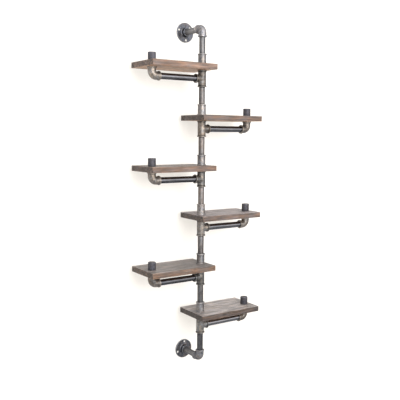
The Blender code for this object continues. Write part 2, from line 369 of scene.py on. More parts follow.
def net_mesh(name, distance, low, high, cell):
    """A quad mesh of the surface where distance is zero, with a point in each grid cell that it crosses."""
    ticks = [np.arange(a - 1.5 * cell, b + 2.5 * cell, cell) for a, b in zip(low, high)]
    grid = np.stack(np.meshgrid(*ticks, indexing="ij"), axis=-1)
    inside = distance(grid) < 0.0
    corners = np.zeros([n - 1 for n in inside.shape], int)
    for i in (0, 1):
        for j in (0, 1):
            for k in (0, 1):
                ends = [n - 1 + offset for n, offset in zip(inside.shape, (i, j, k))]
                corners += inside[i : ends[0], j : ends[1], k : ends[2]]
    crossed = (corners > 0) & (corners < 8)
    number = np.full(crossed.shape, -1)
    number[crossed] = np.arange(crossed.sum())
    points = grid[:-1, :-1, :-1][crossed] + cell / 2.0
    faces = []
    for axis in range(3):
        turned = np.moveaxis(inside, axis, 0)
        cells = np.moveaxis(number, axis, 0)
        changes = turned[:-1, 1:-1, 1:-1] != turned[1:, 1:-1, 1:-1]
        ring = [cells[:, :-1, :-1], cells[:, 1:, :-1], cells[:, 1:, 1:], cells[:, :-1, 1:]]
        faces.append(np.stack([side[changes] for side in ring], axis=-1))
    faces = np.concatenate(faces)
    points = settle(points, distance, 4)
    for _ in range(3):
        points = settle(relax(points, faces), distance, 2)
    return new_mesh(name, points, faces, NET_SHARP)


def tee_distance(points):
    """The tee about its axes' crossing, with its run along Z and its branch towards +X."""
    x, y, z = np.moveaxis(points, -1, 0)
    run_radial, branch_radial = np.hypot(x, y), np.hypot(y, z)
    face, band_start = CENTRE_TO_FACE, CENTRE_TO_FACE - BAND_LENGTH
    run = drum(np.abs(z), run_radial, -ENDLESS, face - MM, BODY_RADIUS)
    run_band = drum(np.abs(z), run_radial, band_start, face, BAND_RADIUS, BAND_ROUNDING)
    branch = drum(x, branch_radial, 0.0, face - MM, BRANCH_BODY_RADIUS)
    branch_band = drum(x, branch_radial, band_start, face, BAND_RADIUS, BAND_ROUNDING)
    run = smooth_union(run, run_band, BAND_FILLET)
    branch = smooth_union(branch, branch_band, BAND_FILLET)
    skin = smooth_union(run, branch, BRANCH_FILLET)
    shoulder, beyond = face - SOCKET_DEPTH, face + 10.0 * MM
    holes = [
        drum(np.abs(z), run_radial, -ENDLESS, beyond, WATERWAY_RADIUS),
        drum(np.abs(z), run_radial, shoulder, beyond, SOCKET_RADIUS),
        chamfer(face - np.abs(z), run_radial, SOCKET_RADIUS, MOUTH_CHAMFER),
        drum(x, branch_radial, 0.0, beyond, BRANCH_WATERWAY_RADIUS),
        drum(x, branch_radial, shoulder, beyond, SOCKET_RADIUS),
        chamfer(face - x, branch_radial, SOCKET_RADIUS, MOUTH_CHAMFER),
    ]
    return smooth_cut(skin, np.minimum.reduce(holes), HOLE_EDGE)


def flange_distance(points, height, radius):
    """The flange with its back on height 0, its hub above and its first screw hole towards +X."""
    x, y, z = np.moveaxis(points, -1, 0)
    radial = np.hypot(x, y)
    plate = drum(z, radial, 0.0, FLANGE_THICKNESS, radius, FLANGE_ROUNDING)
    hub = drum(z, radial, FLANGE_THICKNESS, height, HUB_RADIUS, FLANGE_ROUNDING)
    skin = smooth_union(plate, hub, HUB_FILLET)
    holes = [radial - SOCKET_RADIUS, chamfer(height - z, radial, SOCKET_RADIUS, MOUTH_CHAMFER)]
    for i in range(SCREW_HOLES):
        turn = 2.0 * math.pi * i / SCREW_HOLES
        hole_x = SCREW_CIRCLE_RADIUS * math.cos(turn)
        hole_y = SCREW_CIRCLE_RADIUS * math.sin(turn)
        from_hole = np.hypot(x - hole_x, y - hole_y)
        nearby = np.maximum(from_hole - SCREW_HOLE_RADIUS - SCREW_HOLE_CLEARING, -z)
        eased = chamfer(FLANGE_THICKNESS - z, from_hole, SCREW_HOLE_RADIUS, SCREW_HOLE_EDGE)
        holes.append(np.maximum(from_hole - SCREW_HOLE_RADIUS, nearby))
        holes.append(np.maximum(eased, nearby))
    return np.maximum(smooth_cut(skin, np.minimum.reduce(holes), HOLE_EDGE), -z)


def cut_threads(points, radius, mouths):
    """Sinks a screw thread into a pipe's skin.

    It is full inside each (height, way out) mouth of a fitting and runs out beyond it.
    """
    across = np.hypot(points[:, 0], points[:, 1])
    turn = np.arctan2(points[:, 1], points[:, 0]) / (2.0 * math.pi)
    groove = 0.5 - 0.5 * np.cos(2.0 * math.pi * (points[:, 2] / THREAD_PITCH - turn))
    fullness = np.zeros(len(points))
    for height, way_out in mouths:
        beyond = (points[:, 2] - height) * way_out
        run_out = np.clip(1.0 - beyond / THREAD_SHOWN, 0.0, 1.0)
        start = np.clip(beyond / THREAD_PITCH + THREAD_TURNS_INSIDE, 0.0, 1.0)
        fullness = np.maximum(fullness, run_out * start)
    depth = THREAD_DEPTH * groove * fullness * (across > radius - 0.1 * MM)
    points[:, :2] *= (1.0 - depth / np.maximum(across, MM))[:, None]
    return points


def pipe_mesh(name, length, radius, mouths):
    """A length of pipe standing on height 0, with eased ends and a bit of thread at each mouth."""
    ease = PIPE_END_CHAMFER
    heights = {ease, length - ease}
    for height, way_out in mouths:
        inside = height - THREAD_TURNS_INSIDE * THREAD_PITCH * way_out
        outside = height + THREAD_SHOWN * way_out
        found = np.arange(min(inside, outside), max(inside, outside) + THREAD_STEP, THREAD_STEP)
        heights.update(found[(found > ease) & (found < length - ease)].tolist())
    outline = [Vector((0.0, radius - ease))]
    outline += [Vector((height, radius)) for height in sorted(heights)]
    outline.append(Vector((length, radius - ease)))
    outline += [Vector((height, PIPE_BORE_RADIUS)) for height in (length, 0.0)]
    return sweep(name, outline, reshape=lambda points: cut_threads(points, radius, mouths))


def elbow_mesh(name):
    """A banded elbow about its axes' crossing, with one socket towards +X and the other towards +Z."""
    total = 2.0 * (CENTRE_TO_FACE - BEND_RADIUS) + QUARTER * BEND_RADIUS
    skin = [
        (0.0, BAND_RADIUS, BAND_ROUNDING),
        (BAND_LENGTH, BAND_RADIUS, BAND_ROUNDING),
        (BAND_LENGTH + BAND_STEP, BODY_RADIUS, BAND_FILLET),
    ]
    bore = [
        (0.0, SOCKET_RADIUS + MOUTH_CHAMFER, 0.0),
        (MOUTH_CHAMFER, SOCKET_RADIUS, 0.0),
        (SOCKET_DEPTH, SOCKET_RADIUS, 0.0),
        (SOCKET_DEPTH, WATERWAY_RADIUS, 0.0),
    ]
    corners = skin + [(total - distance, radius, ease) for distance, radius, ease in reversed(skin)]
    corners += [(total - distance, radius, ease) for distance, radius, ease in bore]
    corners += list(reversed(bore))
    return sweep(name, divided(rounded(corners), ELBOW_STEP), bend_path)


def collar_mesh(name, height, bead_radius):
    """A collar with a bead at each end, standing on height 0."""
    low, high = COLLAR_BEAD_HEIGHT, height - COLLAR_BEAD_HEIGHT
    corners = [
        (0.0, bead_radius, STANDING_ROUNDING),
        (low, bead_radius, COLLAR_INNER_ROUNDING),
        (low + COLLAR_BEAD_STEP, BODY_RADIUS, COLLAR_ROUNDING),
        (high - COLLAR_BEAD_STEP, BODY_RADIUS, COLLAR_ROUNDING),
        (high, bead_radius, COLLAR_INNER_ROUNDING),
        (height, bead_radius, COLLAR_ROUNDING),
        (height, SOCKET_RADIUS + MOUTH_CHAMFER, 0.0),
        (height - MOUTH_CHAMFER, SOCKET_RADIUS, 0.0),
        (MOUTH_CHAMFER, SOCKET_RADIUS, 0.0),
        (0.0, SOCKET_RADIUS + MOUTH_CHAMFER, 0.0),
    ]
    return sweep(name, rounded(corners))


def cap_mesh(name, height, radius):
    """A closed cap standing on height 0, open below."""
    corners = [
        (0.0, radius, STANDING_ROUNDING),
        (height, radius, CAP_EDGE),
        (height, 0.0, 0.0),
        (CAP_BORE_DEPTH, 0.0, 0.0),
        (CAP_BORE_DEPTH, SOCKET_RADIUS, 0.0),
        (MOUTH_CHAMFER, SOCKET_RADIUS, 0.0),
        (0.0, SOCKET_RADIUS + MOUTH_CHAMFER, 0.0),
    ]
    return sweep(name, rounded(corners))


def board_ticks(half):
    """Positions across a board, close together near its edges."""
    near = [tick * MM for tick in BOARD_EDGE_TICKS_MM if tick * MM < half * 0.85]
    inner = half - near[-1]
    count = max(2, round(2.0 * inner / BOARD_CELL))
    middle = [-inner + 2.0 * inner * i / count for i in range(1, count)]
    return [-half + step for step in near] + middle + [half - step for step in reversed(near)]


def rounded_corner(beyond, rounding):
    """Distance to a rounded corner of two sides, from how far points lie beyond each side."""
    found = beyond + rounding
    outside = np.linalg.norm(np.maximum(found, 0.0), axis=1)
    return outside + np.minimum(found.max(axis=1), 0.0) - rounding


def board_mesh(name, size, holes, seed):
    """A board about its middle, with eased and worn edges, and holes along Z at each (x, y)."""
    half = Vector(size) / 2.0
    ticks = [board_ticks(side) for side in half]
    last = [len(side) - 1 for side in ticks]
    number = {}
    points = []
    faces = []

    def corner(*place):
        if place not in number:
            number[place] = len(points)
            points.append([ticks[axis][place[axis]] for axis in range(3)])
        return number[place]

    for axis in range(3):
        across, up = (axis + 1) % 3, (axis + 2) % 3
        for end in (0, last[axis]):
            for i in range(last[across]):
                for j in range(last[up]):
                    face = []
                    for di, dj in ((0, 0), (1, 0), (1, 1), (0, 1)):
                        place = [0, 0, 0]
                        place[axis], place[across], place[up] = end, i + di, j + dj
                        face.append(corner(*place))
                    faces.append(face if end else face[::-1])

    def distance(found):
        beyond = np.abs(found) - np.array(half)
        plan = rounded_corner(beyond[:, :2], BOARD_CORNER)
        return rounded_corner(np.stack([plan, beyond[:, 2]], axis=-1), BOARD_EDGE)

    placed = settle(np.array(points), distance, 6)
    to_edge = np.sort(np.array(half) - np.abs(placed), axis=1)[:, 1]
    near_edge = np.exp(-((to_edge / EDGE_WEAR_REACH) ** 2))
    mesh = bpy.data.meshes.new(name + "_blank")
    mesh.from_pydata([tuple(point) for point in placed], [], faces)
    normals = vertex_normals(mesh)
    shift = Vector((seed * 3.71, seed * 1.93, seed * 0.77))
    depth = []
    for point, share in zip(placed, near_edge):
        at = Vector(point)
        grain = Vector((at.x * WAVE_SCALE_ALONG, at.y * WAVE_SCALE_ACROSS, at.z * WAVE_SCALE_ACROSS))
        chip = max(0.0, noise.noise(at * CHIP_SCALE + shift) - CHIP_START) * CHIP_DEPTH
        rub = (0.5 + 0.5 * noise.noise(at * RUB_SCALE - shift)) * RUB_DEPTH
        wave = (0.5 + 0.5 * noise.noise(grain + shift)) * WAVE_DEPTH
        depth.append(share * (chip + rub) + wave)
    placed = placed - normals * np.array(depth)[:, None]
    mesh.vertices.foreach_set("co", placed.ravel())
    return finished(drilled(name, mesh, holes, size[2]), BOARD_SHARP)


def drilled(name, blank, holes, thickness):
    """The blank with round holes cut through it along Z."""
    host = bpy.data.objects.new(name + "_host", blank)
    helpers = [host]
    end = thickness / 2.0 + 2.0 * MM
    outline = [(-end, 0.0), (-end, BOARD_HOLE_RADIUS), (end, BOARD_HOLE_RADIUS), (end, 0.0)]
    for x, y in holes:
        cutter = sweep(name + "_cutter", outline, sides=BOARD_HOLE_SIDES)
        cutter.transform(Matrix.Translation((x, y, 0.0)))
        helpers.append(bpy.data.objects.new(name + "_cutter", cutter))
        modifier = host.modifiers.new("hole", "BOOLEAN")
        modifier.operation = "DIFFERENCE"
        modifier.solver = "EXACT"
        modifier.object = helpers[-1]
    for helper in helpers:
        bpy.context.scene.collection.objects.link(helper)
    bpy.context.view_layer.update()
    cut_host = host.evaluated_get(bpy.context.evaluated_depsgraph_get())
    result = bpy.data.meshes.new_from_object(cut_host)
    result.name = name
    for helper in helpers:
        bpy.data.objects.remove(helper)
    return result


# Materials


# How far each piece's place moves its patterns.
PATTERN_SHIFT = (7.3, 5.1, 3.7)


class Graph:
    """A material's nodes. Most methods add nodes and return an output socket."""

    def __init__(self, name):
        self.material = bpy.data.materials.new(name)
        self.material.use_nodes = True
        self.tree = self.material.node_tree
        self.shader = self.tree.nodes["Principled BSDF"]

    def node(self, kind, output=0, inputs=(), **settings):
        made = self.tree.nodes.new("ShaderNode" + kind)
        for key, value in settings.items():
            setattr(made, key, value)
        for key, value in dict(inputs).items():
            self.feed(made.inputs[key], value)
        return made.outputs[output]

    def feed(self, socket, value):
        if isinstance(value, bpy.types.NodeSocket):
            self.tree.links.new(value, socket)
        elif isinstance(value, tuple) and len(value) == 3 and socket.type == "RGBA":
            socket.default_value = (*value, 1.0)
        else:
            socket.default_value = value

    def math(self, operation, a, b=0.0):
        return self.node("Math", 0, {0: a, 1: b}, operation=operation)

    def vector(self, operation, a, b):
        return self.node("VectorMath", 0, {0: a, 1: b}, operation=operation)

    def noise(self, at, scale=1.0, detail=3.0, roughness=0.5):
        inputs = {"Vector": at, "Scale": scale, "Detail": detail, "Roughness": roughness}
        return self.node("TexNoise", 0, inputs)

    def stretched_noise(self, at, stretch, detail, roughness):
        """Noise with a scale of its own along each axis."""
        return self.noise(self.vector("MULTIPLY", at, stretch), 1.0, detail, roughness)

    def span(self, value, low, high, to_low=0.0, to_high=1.0):
        inputs = {"Value": value, "From Min": low, "From Max": high}
        inputs.update({"To Min": to_low, "To Max": to_high})
        return self.node("MapRange", 0, inputs, clamp=True)

    def ramp(self, value, stops):
        made = self.tree.nodes.new("ShaderNodeValToRGB")
        self.feed(made.inputs[0], value)
        elements = made.color_ramp.elements
        while len(elements) < len(stops):
            elements.new(0.5)
        for element, (place, colour) in zip(elements, stops):
            element.position = place
            element.color = (*colour, 1.0)
        return made.outputs[0]

    def mix(self, share, a, b, blend="MIX"):
        made = self.tree.nodes.new("ShaderNodeMix")
        made.data_type = "RGBA"
        made.blend_type = blend
        for place, value in ((0, share), (6, a), (7, b)):
            self.feed(made.inputs[place], value)
        return made.outputs[2]

    def multiplied(self, colour, factor):
        return self.mix(1.0, colour, factor, "MULTIPLY")

    def bump(self, height, distance, normal=None):
        inputs = {"Height": height, "Distance": distance}
        if normal is not None:
            inputs["Normal"] = normal
        return self.node("Bump", 0, inputs)

    def split(self, vector):
        """The vector's three parts."""
        made = self.tree.nodes.new("ShaderNodeSeparateXYZ")
        self.feed(made.inputs[0], vector)
        return made.outputs

    def own_place(self, stretch=(1.0, 1.0, 1.0)):
        """Coordinates on the piece, moved by where the piece is so that no two pieces share a pattern."""
        at = self.vector("MULTIPLY", self.node("TexCoord", "Object"), stretch)
        moved = self.vector("MULTIPLY", self.node("ObjectInfo", "Location"), PATTERN_SHIFT)
        return self.vector("ADD", at, moved)

    def convex_edges(self):
        """Convex edges, from 0 to 1: where handling rubs, and on castings a painted highlight."""
        return self.span(self.node("Attribute", "Fac", attribute_name="wear_and_painted_shade"), 0.0, 1.0)

    def grime_and_painted_shade(self):
        """How deep in a groove the surface is, from 0 to 1: grime and painted shade."""
        return self.span(self.node("Attribute", "Fac", attribute_name="wear_and_painted_shade"), 0.0, -1.0)

    def finish(self, **inputs):
        """The material, with these inputs of its shader fed."""
        for key, value in inputs.items():
            self.feed(self.shader.inputs[key.replace("_", " ")], value)
        return self.material


def tinted(colour, factor):
    return tuple(channel * factor for channel in colour)


def tinted_by(colour, tint):
    return tuple(channel * share for channel, share in zip(colour, tint))


# Tints that a colour is multiplied by.
WARM = (1.10, 1.00, 0.90)
COOL = (0.91, 0.99, 1.10)
WARM_WOOD = (1.21, 1.00, 0.81)
COOL_WOOD = (0.8281, 0.9801, 1.21)
RUST_FILM = (1.22, 0.87, 0.68)

# Colours of their own, and how dark a board's ends are next to its front. The underside colour is bare wood
# lightened in part as painted light from below.
RUST = (0.150, 0.078, 0.045)
UNDERSIDE_WITH_PAINTED_LIGHT = (0.360, 0.226, 0.148)
RUBBED_WOOD = (0.230, 0.165, 0.120)
END_SHADE = 0.72

# How little metals shine where they aren't metallic, and the tint they take at grazing angles.
METAL_SPECULAR = 0.3
EDGE_TINT = (0.24, 0.27, 0.33)


def finished_metal(graph, tone, roughness, normal, metal):
    """The material, with what all the metals share."""
    graph.finish(Base_Color=tone, Roughness=roughness, Normal=normal, Metallic=metal)
    return graph.finish(Specular_IOR_Level=METAL_SPECULAR, Specular_Tint=EDGE_TINT)


def cast_material(name, colour, rough, metal, rust=0.0):
    """Cast iron: a pebbled, cloudy skin, a mould seam and a little rust.

    Rubbed edges are lighter, partly as a painted highlight; grooves are darker with grime and painted
    shade.
    """
    graph = Graph(name)
    at = graph.own_place()
    clouds = graph.noise(at, 55.0, 4.0, 0.6)
    mottle = graph.noise(at, 170.0, 3.0, 0.65)
    speckle = graph.noise(at, 650.0, 2.0, 0.6)
    pits = graph.noise(at, 1500.0, 1.0)
    hue = graph.noise(at, 90.0, 3.0, 0.6)
    convex_edges, grime_and_painted_shade = graph.convex_edges(), graph.grime_and_painted_shade()
    tone = graph.mix(graph.span(hue, 0.35, 0.65), tinted_by(colour, COOL), tinted_by(colour, WARM))
    tone = graph.multiplied(tone, graph.span(clouds, 0.32, 0.68, 0.72, 1.30))
    tone = graph.multiplied(tone, graph.span(mottle, 0.34, 0.66, 0.62, 1.40))
    tone = graph.mix(graph.span(speckle, 0.42, 0.75, 0.0, 0.5), tone, tinted(colour, 0.35))
    if rust:
        stain = graph.span(graph.noise(at, 55.0, 5.0, 0.7), 0.54, 0.68, 0.0, rust)
        tone = graph.mix(stain, tone, RUST)
    # Convex edges are lightened: handling wear, and a painted highlight of light caught on the bands' rims.
    convex_edges = graph.math("MULTIPLY", convex_edges, graph.span(clouds, 0.30, 0.60, 0.30, 0.90))
    tone = graph.mix(convex_edges, tone, tinted(colour, 2.7))
    # Grooves are darkened: grime and painted shade.
    tone = graph.mix(graph.math("MULTIPLY", grime_and_painted_shade, 0.75), tone, tinted(colour, 0.20))
    seam_place = graph.split(graph.node("TexCoord", "Object"))[1]
    seam = graph.span(graph.math("ABSOLUTE", seam_place), 0.0002, 0.0007, 1.0, 0.0)
    seam = graph.math("MULTIPLY", seam, graph.span(clouds, 0.45, 0.6))
    normal = graph.bump(mottle, 0.35 * MM)
    normal = graph.bump(speckle, 0.16 * MM, normal=normal)
    normal = graph.bump(pits, 0.05 * MM, normal=normal)
    normal = graph.bump(seam, 0.18 * MM, normal=normal)
    roughness = graph.span(clouds, 0.3, 0.7, rough - 0.07, rough + 0.08)
    roughness = graph.math("ADD", roughness, graph.math("MULTIPLY", convex_edges, -0.12))
    return finished_metal(graph, tone, roughness, normal, metal)


def pipe_material(name, colour, cool, rough, metal, mottling=0.4, rust=0.0):
    """Steel pipe: draw marks along it, patches of cooler scale, scuffs and a film of rust.

    Its threads are darker with grime and painted shade.
    """
    graph = Graph(name)
    at = graph.own_place()
    streaks = graph.noise(graph.own_place((260.0, 260.0, 12.0)), 1.0, 3.0, 0.6)
    blotches = graph.noise(graph.own_place((150.0, 150.0, 60.0)), 1.0, 4.0, 0.65)
    clouds = graph.noise(at, 45.0, 4.0, 0.6)
    scuffs = graph.noise(graph.own_place((900.0, 900.0, 240.0)), 1.0, 2.0, 0.5)
    convex_edges, grime_and_painted_shade = graph.convex_edges(), graph.grime_and_painted_shade()
    tone = graph.mix(graph.span(clouds, 0.36, 0.62), cool, colour)
    tone = graph.multiplied(tone, graph.span(blotches, 0.34, 0.66, 1.0 - mottling, 1.0 + mottling))
    tone = graph.multiplied(tone, graph.span(streaks, 0.35, 0.70, 1.18, 0.72))
    tone = graph.mix(graph.span(scuffs, 0.62, 0.78, 0.0, 0.5), tone, tinted(colour, 1.6))
    if rust:
        film = graph.noise(graph.own_place((75.0, 75.0, 30.0)), 1.0, 5.0, 0.7)
        film = graph.span(film, 0.47, 0.64, 0.0, rust)
        tone = graph.mix(film, tone, tinted_by(colour, RUST_FILM))
    tone = graph.mix(graph.math("MULTIPLY", convex_edges, 0.5), tone, tinted(colour, 1.6))
    # Threads and grooves are darkened: grime and painted shade.
    tone = graph.mix(graph.math("MULTIPLY", grime_and_painted_shade, 0.5), tone, tinted(colour, 0.3))
    normal = graph.bump(streaks, 0.05 * MM)
    normal = graph.bump(blotches, 0.3 * mottling * MM, normal=normal)
    normal = graph.bump(scuffs, 0.04 * MM, normal=normal)
    roughness = graph.span(clouds, 0.3, 0.7, rough - 0.15 * mottling, rough + 0.25 * mottling)
    return finished_metal(graph, tone, roughness, normal, metal)


def wood_material(name, seed, heart, front, top, ring_width):
    """A flat-sawn board: growth rings about a heart line along X, streaks, knots and patchy stain.

    The front edge keeps the warm stain. The top is worn grey, lightened in part as painted light from
    above.
    The ends are dark and mottled. The underside is nearly bare, lightened in part as painted light
    from below. The edges are rubbed.
    """
    graph = Graph(name)
    local = graph.node("TexCoord", "Object")
    turn = (0.0, 0.035, -0.02 + 0.012 * seed)
    place = {"Vector": local, "Location": (seed * 1.37, *heart), "Rotation": turn}
    tilt = graph.node("Mapping", 0, place)

    knots = graph.tree.nodes.new("ShaderNodeTexVoronoi")
    graph.feed(knots.inputs["Vector"], graph.vector("MULTIPLY", tilt, (9.0, 20.0, 20.0)))
    graph.feed(knots.inputs["Scale"], 1.0)
    chosen = graph.span(graph.split(knots.outputs["Color"])[0], 0.66, 0.67)
    from_knot = graph.math("ADD", knots.outputs["Distance"], graph.math("SUBTRACT", 1.0, chosen))

    wander = graph.stretched_noise(tilt, (3.2, 16.0, 16.0), 3.0, 0.55)
    y, z = graph.split(tilt)[1:3]
    squared = graph.math("ADD", graph.math("MULTIPLY", y, y), graph.math("MULTIPLY", z, z))
    radius = graph.math("ADD", graph.math("SQRT", squared), graph.math("MULTIPLY", wander, 0.030))
    radius = graph.math("ADD", radius, graph.span(from_knot, 0.0, 0.40, 0.012, 0.0))
    ring = graph.math("FRACT", graph.math("DIVIDE", radius, ring_width))
    growth = [(0.0, 0.1), (0.45, 0.25), (0.86, 1.0), (1.0, 0.1)]
    late = graph.ramp(ring, [(at, (level, level, level)) for at, level in growth])

    fibre = graph.stretched_noise(tilt, (16.0, 620.0, 620.0), 3.0, 0.6)
    vessels = graph.stretched_noise(tilt, (26.0, 1300.0, 1300.0), 2.0, 0.5)
    streak = graph.stretched_noise(tilt, (13.0, 150.0, 150.0), 4.0, 0.62)
    patch = graph.stretched_noise(tilt, (14.0, 38.0, 38.0), 4.0, 0.6)
    hue = graph.stretched_noise(tilt, (22.0, 90.0, 90.0), 3.0, 0.6)
    saw_marks = graph.stretched_noise(local, (120.0, 150.0, 170.0), 2.0, 0.5)
    pores = graph.stretched_noise(local, (60.0, 900.0, 900.0), 2.0, 0.6)
    open_grain = graph.span(vessels, 0.54, 0.66, 1.06, 0.52)

    facing = graph.split(graph.node("TexCoord", "Normal"))
    up, down = graph.span(facing[2], 0.5, 0.9), graph.span(facing[2], -0.5, -0.9)
    end = graph.span(graph.math("ABSOLUTE", facing[0]), 0.6, 0.9)
    # The top tone is worn grey wood, and lighter in part as painted light from above.
    tone = graph.mix(up, front, top)
    # The underside tone: bare wood, lighter in part as painted light from below.
    tone = graph.mix(down, tone, UNDERSIDE_WITH_PAINTED_LIGHT)
    end_tone = tinted_by(tinted(front, END_SHADE), COOL)
    tone = graph.mix(graph.math("MULTIPLY", end, 0.9), tone, end_tone)

    warmth = graph.mix(graph.span(hue, 0.36, 0.64), COOL_WOOD, WARM_WOOD)
    warmth_share = graph.span(up, 0.0, 1.0, 0.8, 0.3)
    wood = graph.mix(warmth_share, tone, graph.multiplied(tone, warmth))
    wood = graph.multiplied(wood, graph.span(streak, 0.33, 0.67, 1.50, 0.55))
    wood = graph.multiplied(wood, graph.span(fibre, 0.30, 0.70, 1.25, 0.75))
    wood = graph.multiplied(wood, open_grain)
    wood = graph.multiplied(wood, graph.span(late, 0.1, 1.0, 1.10, 0.72))
    wood = graph.multiplied(wood, graph.span(patch, 0.36, 0.66, 1.22, 0.74))
    sawn = graph.multiplied(wood, graph.span(saw_marks, 0.40, 0.60, 0.40, 1.60))
    wood = graph.mix(end, wood, sawn)
    worn_top = graph.multiplied(wood, graph.span(streak, 0.36, 0.64, 1.25, 0.75))
    wood = graph.mix(up, wood, worn_top)

    end_pores = graph.math("MULTIPLY", end, graph.span(pores, 0.45, 0.7, 0.0, 0.6))
    wood = graph.mix(end_pores, wood, tinted(front, 0.25))
    wood = graph.mix(graph.span(from_knot, 0.05, 0.11, 0.75, 0.0), wood, tinted(front, 0.22))
    convex_edges = graph.math("MULTIPLY", graph.convex_edges(), graph.span(patch, 0.35, 0.6, 0.6, 0.1))
    wood = graph.mix(convex_edges, wood, RUBBED_WOOD)

    normal = graph.bump(late, 0.12 * MM)
    normal = graph.bump(streak, 0.20 * MM, normal=normal)
    normal = graph.bump(fibre, 0.10 * MM, normal=normal)
    normal = graph.bump(open_grain, 0.06 * MM, normal=normal)
    roughness = graph.span(streak, 0.3, 0.7, 0.64, 0.48)
    return graph.finish(Base_Color=wood, Roughness=roughness, Normal=normal, Specular_IOR_Level=0.4)


# Placing the pieces


slots = {entry["node"]: entry["material_slot"] for entry in frame["record"]["subparts"]}

# Each metal slot's maker, with its settings in the order that the maker takes them.
METALS = {
    "collar": (cast_material, (0.204, 0.196, 0.196), 0.36, 0.7),
    "tee": (cast_material, (0.178, 0.162, 0.147), 0.40, 0.7),
    "arm_elbow": (cast_material, (0.178, 0.162, 0.147), 0.38, 0.7),
    "wall_elbow": (cast_material, (0.152, 0.150, 0.157), 0.38, 0.7),
    "end_cap": (cast_material, (0.035, 0.034, 0.039), 0.46, 0.3),
    "wall_flange": (cast_material, (0.074, 0.077, 0.087), 0.34, 0.75, 0.3),
    "riser_pipe": (pipe_material, (0.152, 0.138, 0.130), (0.120, 0.118, 0.122), 0.34, 0.75, 0.4, 0.45),
    "foot_pipe": (pipe_material, (0.056, 0.056, 0.060), (0.044, 0.045, 0.050), 0.36, 0.6),
    "arm_pipe": (pipe_material, (0.122, 0.122, 0.132), (0.104, 0.107, 0.121), 0.20, 1.0, 0.12),
    "stub_nipple": (pipe_material, (0.048, 0.048, 0.052), (0.038, 0.039, 0.045), 0.36, 0.45),
    "wall_nipple": (pipe_material, (0.142, 0.139, 0.140), (0.118, 0.118, 0.123), 0.36, 0.65),
}

# How light each piece is next to its kind's colours, from the top down: no two castings or lengths of pipe
# have quite the same scale. The factors also hold painted light and shade, set against how the studio light
# falls on each tier and where it puts highlights.
SHADES_AND_PAINTED_LIGHT = {
    "riser_pipe": (0.71, 0.68, 0.76, 0.96, 0.69, 0.68),
    "collar": (0.74, 0.84, 0.70, 0.93, 0.77, 0.88),
    "tee": (0.66, 0.77, 0.66, 0.97, 0.58, 0.94),
    "arm_elbow": (1.08, 0.78, 0.88, 0.88, 0.80, 0.66),
    "arm_pipe": (1.20, 1.00, 1.00, 1.15, 0.85, 1.35),
    "end_cap": (1.20, 1.05, 1.05, 1.10, 1.05, 1.00),
    "wall_flange": (1.03, 1.14),
    "wall_nipple": (1.26, 0.92),
    "wall_elbow": (1.13, 0.93),
}

# How much warmer each piece is than its kind's colours, or cooler below zero, from the top down.
WARMTHS = {
    "riser_pipe": (-0.07, -0.045, -0.01, 0.0, -0.045, -0.075),
    "collar": (0.0, 0.02, 0.0, 0.03, 0.0, 0.0),
    "tee": (0.0, 0.035, -0.04, -0.03, -0.08, -0.045),
}


def metal_material(node, slot):
    """The slot's metal in this piece's shade and warmth, which the number or the end in its name gives.

    The shade holds painted light and shade as well as the piece's own scale.
    """
    maker, *settings = METALS[slot]
    place = {"upper": 0, "lower": 1}.get(node.split("_")[0])
    if place is None:
        place = int(node.rsplit("_", 1)[-1]) - 1
    # The shade is partly painted light and shade.
    shade = SHADES_AND_PAINTED_LIGHT[slot][place] if slot in SHADES_AND_PAINTED_LIGHT else 1.0
    warmth = WARMTHS[slot][place] if slot in WARMTHS else 0.0
    tint = (shade * (1.0 + warmth), shade, shade * (1.0 - warmth))
    toned = [tinted_by(value, tint) if isinstance(value, tuple) else value for value in settings]
    return maker(node + "_metal", *toned)


def add(node, mesh, at, turn=Matrix.Identity(4), material=None):
    """Places a piece in the row frame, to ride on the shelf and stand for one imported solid."""
    slot = slots[node]
    own_mesh = mesh.copy()
    own_mesh.materials.append(material or metal_material(node, slot))
    piece = bpy.data.objects.new(node + "_detail", own_mesh)
    bpy.context.scene.collection.objects.link(piece)
    piece.matrix_world = Matrix.Translation(at) @ turn
    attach(piece, "root")
    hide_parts(node)


def middle(node):
    low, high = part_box(node)
    return (low + high) / 2.0


def size(node):
    low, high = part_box(node)
    return high - low


def add_pipe(node, axis, mouths=()):
    """A pipe along the given axis: 0 for X, 1 for Y and 2 for Z.

    It has threads at its ends and at each further (place along the axis, way out) mouth of a fitting.
    """
    low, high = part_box(node)
    length = high[axis] - low[axis]
    across = high[(axis + 1) % 3] - low[(axis + 1) % 3]
    start = (low + high) / 2.0
    start[axis] = low[axis]
    ends = [(ENGAGEMENT, 1.0), (length - ENGAGEMENT, -1.0)]
    mouths = ends + [(place - low[axis], way_out) for place, way_out in mouths]
    turns = (Matrix.Rotation(QUARTER, 4, "Y"), Matrix.Rotation(-QUARTER, 4, "X"), Matrix.Identity(4))
    add(node, pipe_mesh(node + "_mesh", length, across / 2.0, mouths), start, turns[axis])


def add_upright():
    """The pipes of the upright. All but the lowest pass through a collar and a board into the next tee."""
    for number in range(1, SHELVES + 1):
        add_pipe(f"riser_pipe_{number}", 2, [(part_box(f"collar_{number}")[1].z, 1.0)])
    add_pipe(f"riser_pipe_{SHELVES + 1}", 2)


